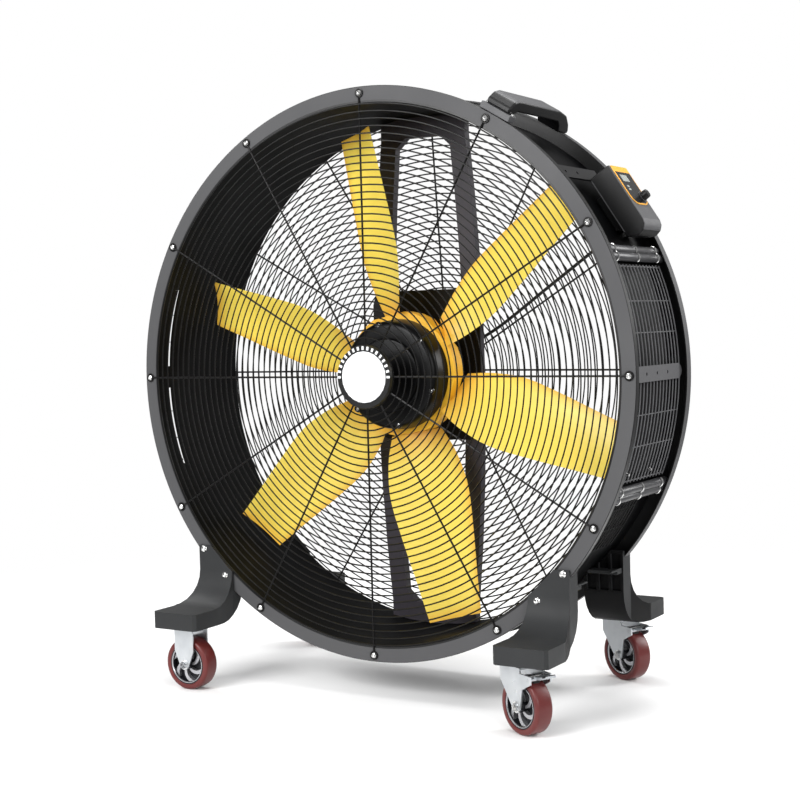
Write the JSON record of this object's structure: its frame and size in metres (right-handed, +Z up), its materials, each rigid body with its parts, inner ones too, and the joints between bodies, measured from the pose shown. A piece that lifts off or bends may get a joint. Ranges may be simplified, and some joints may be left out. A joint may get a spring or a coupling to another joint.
{
  "type": "drum fan on castors",
  "caption": "Large shallow drum fan with flanged rings, wire guards, pitched yellow blades on a framed motor, a carrying handle, a control box and moulded feet on castors.",
  "frame": {"origin": "on the floor, under the middle of the drum", "axes": "+X to the right seen from the front, +Y towards the back, so the air leaves towards -Y, +Z up"},
  "size_m": [1.321, 0.651, 1.4055],
  "materials": {
    "ring_paint": "satin dark grey paint on rolled steel",
    "drum_paint": "satin black paint on sheet steel",
    "wire_black": "dark powder coat on welded wire",
    "wire_grey": "grey coat on wire",
    "trim_grey": "matte grey moulding",
    "disc_white": "plain white disc",
    "plastic_black": "fine texture",
    "plastic_grey": "fine texture",
    "panel_face": "printed panel with plain yellow border",
    "blade_yellow": "moulded yellow",
    "frame_paint": "grey paint on pressed steel",
    "motor_housing": "black coat on a cast housing",
    "shaft_steel": "turned",
    "foot_grey": "moulded dark grey",
    "castor_steel": "zinc plated",
    "tyre_rubber": "maroon tread",
    "wheel_core": "moulded black"
  },
  "bodies": {
    "fan_frame": {"axle_front_left": "castor_steel", "axle_rear_left": "castor_steel", "badge_cup": "plastic_black", "badge_disc": "disc_white", "box_strap": "trim_grey", "cable_gland": "plastic_black", "control_box": "plastic_black", "control_panel": "panel_face", "drum_liner": "drum_paint", "foot_front_left": "foot_grey", "foot_front_right": "foot_grey", "foot_rear_left": "foot_grey", "foot_rear_right": "foot_grey", "fork_front_left": "castor_steel", "fork_rear_left": "castor_steel", "front_guard": "wire_black", "front_ring": "ring_paint", "handle_base": "plastic_grey", "handle_grip": "plastic_black", "motor_body": "motor_housing", "motor_cable": "plastic_black", "motor_frame": "frame_paint", "motor_plate": "frame_paint", "motor_rear_cap": "motor_housing", "rear_guard": "wire_black", "rear_ring": "ring_paint", "side_bar_left": "trim_grey", "side_bar_right": "trim_grey", "side_guard_left": "wire_grey", "side_guard_right": "wire_grey", "side_pad_lower_left": "trim_grey", "side_pad_lower_right": "trim_grey", "side_pad_upper_left": "trim_grey", "side_pad_upper_right": "trim_grey", "swivel_plate_front_right": "castor_steel", "swivel_plate_rear_right": "castor_steel"},
    "rotor": {"rotor_shaft": "shaft_steel", "hub_spider": "blade_yellow", "hub_cover": "plastic_black", "blade_1": "blade_yellow", "blade_2": "blade_yellow", "blade_3": "blade_yellow", "blade_4": "blade_yellow", "blade_5": "blade_yellow", "blade_6": "blade_yellow"},
    "knob": {"speed_knob": "plastic_black"},
    "wheel_front_left": {"tyre_front_left": "tyre_rubber", "wheel_core_front_left": "wheel_core"},
    "castor_front_right": {"fork_front_right": "castor_steel", "axle_front_right": "castor_steel"},
    "wheel_front_right": {"tyre_front_right": "tyre_rubber", "wheel_core_front_right": "wheel_core"},
    "brake_front_right": {"brake_pedal_front_right": "castor_steel"},
    "wheel_rear_left": {"tyre_rear_left": "tyre_rubber", "wheel_core_rear_left": "wheel_core"},
    "castor_rear_right": {"fork_rear_right": "castor_steel", "axle_rear_right": "castor_steel"},
    "wheel_rear_right": {"tyre_rear_right": "tyre_rubber", "wheel_core_rear_right": "wheel_core"},
    "brake_rear_right": {"brake_pedal_rear_right": "castor_steel"}
  },
  "joints": [
    {"name": "fan_spin", "type": "hinge", "parent": "fan_frame", "child": "rotor", "pos_m": [0, 0, 0.745], "axis": [0, 1, 0], "continuous": true},
    {"name": "speed_knob_turn", "type": "hinge", "parent": "fan_frame", "child": "knob", "pos_m": [0.59161, 0.078, 1.13629], "axis": [0.8348, 0, 0.5505], "range_deg": [0, 270]},
    {"name": "wheel_roll_front_left", "type": "hinge", "parent": "fan_frame", "child": "wheel_front_left", "pos_m": [-0.454, -0.268, 0.06196], "axis": [0, 1, 0], "continuous": true},
    {"name": "castor_swivel_front_right", "type": "hinge", "parent": "fan_frame", "child": "castor_front_right", "pos_m": [0.429, -0.268, 0.14], "axis": [0, 0, 1], "continuous": true},
    {"name": "wheel_roll_front_right", "type": "hinge", "parent": "castor_front_right", "child": "wheel_front_right", "pos_m": [0.45166, -0.27857, 0.06196], "axis": [0.4226, 0.9063, 0], "continuous": true},
    {"name": "brake_press_front_right", "type": "hinge", "parent": "castor_front_right", "child": "brake_front_right", "pos_m": [0.4861, -0.29463, 0.125], "axis": [0.4226, 0.9063, 0], "range_deg": [0, 14]},
    {"name": "wheel_roll_rear_left", "type": "hinge", "parent": "fan_frame", "child": "wheel_rear_left", "pos_m": [-0.454, 0.268, 0.06196], "axis": [0, 1, 0], "continuous": true},
    {"name": "castor_swivel_rear_right", "type": "hinge", "parent": "fan_frame", "child": "castor_rear_right", "pos_m": [0.429, 0.268, 0.14], "axis": [0, 0, 1], "continuous": true},
    {"name": "wheel_roll_rear_right", "type": "hinge", "parent": "castor_rear_right", "child": "wheel_rear_right", "pos_m": [0.45166, 0.25744, 0.06196], "axis": [0.4226, 0.9063, 0], "continuous": true},
    {"name": "brake_press_rear_right", "type": "hinge", "parent": "castor_rear_right", "child": "brake_rear_right", "pos_m": [0.4861, 0.24138, 0.125], "axis": [0.4226, 0.9063, 0], "range_deg": [0, 14]}
  ]
}
